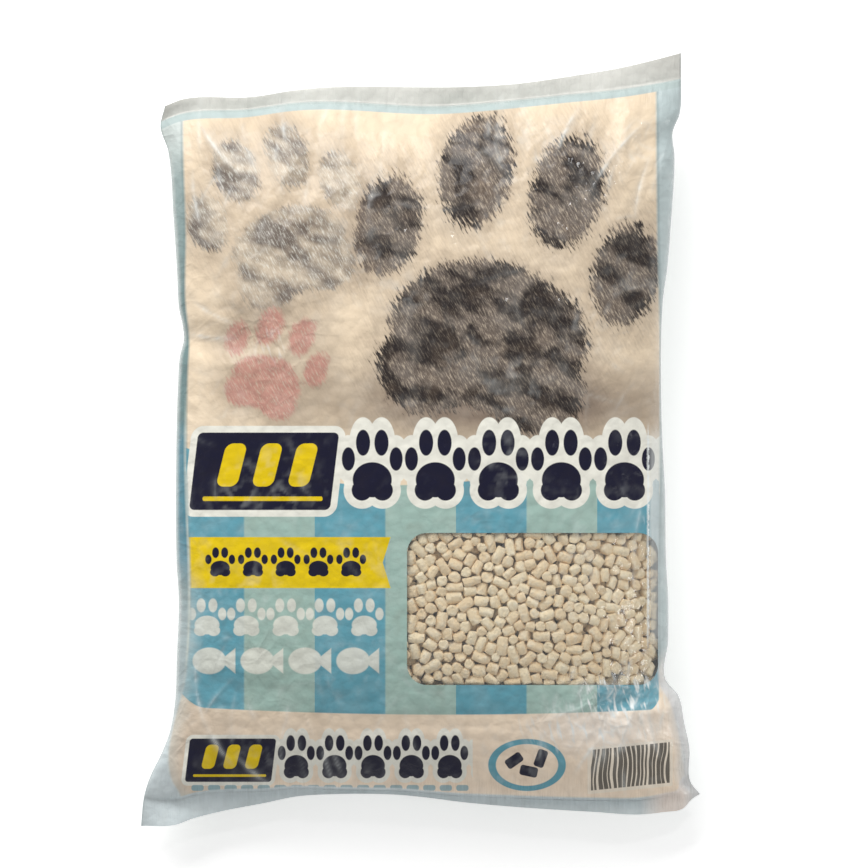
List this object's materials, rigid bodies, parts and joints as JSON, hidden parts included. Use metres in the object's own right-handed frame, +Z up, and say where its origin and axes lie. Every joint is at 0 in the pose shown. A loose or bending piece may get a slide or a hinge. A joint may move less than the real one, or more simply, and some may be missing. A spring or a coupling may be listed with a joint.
{
  "type": "cat litter bag",
  "caption": "Sealed pillow bag of printed plastic film, full of cat litter pellets, with gathered end seals, loose ears and a clear window near one corner, lying on its back.",
  "frame": {"origin": "middle of the bag's footprint, on the ground under its flat back", "axes": "+X to the right of the printed front, +Y along the bag towards its top seal, +Z up out of the printed front"},
  "size_m": [0.3241, 0.4477, 0.0856],
  "materials": {
    "printed_film": "thin glossy printed film with fine creases",
    "pulp_pellets": "matt pressed pulp",
    "clear_film": "clear glossy film"
  },
  "bodies": {
    "root": {"film_bag": "printed_film", "litter_pellets": "pulp_pellets", "window_film": "clear_film"}
  },
  "joints": []
}
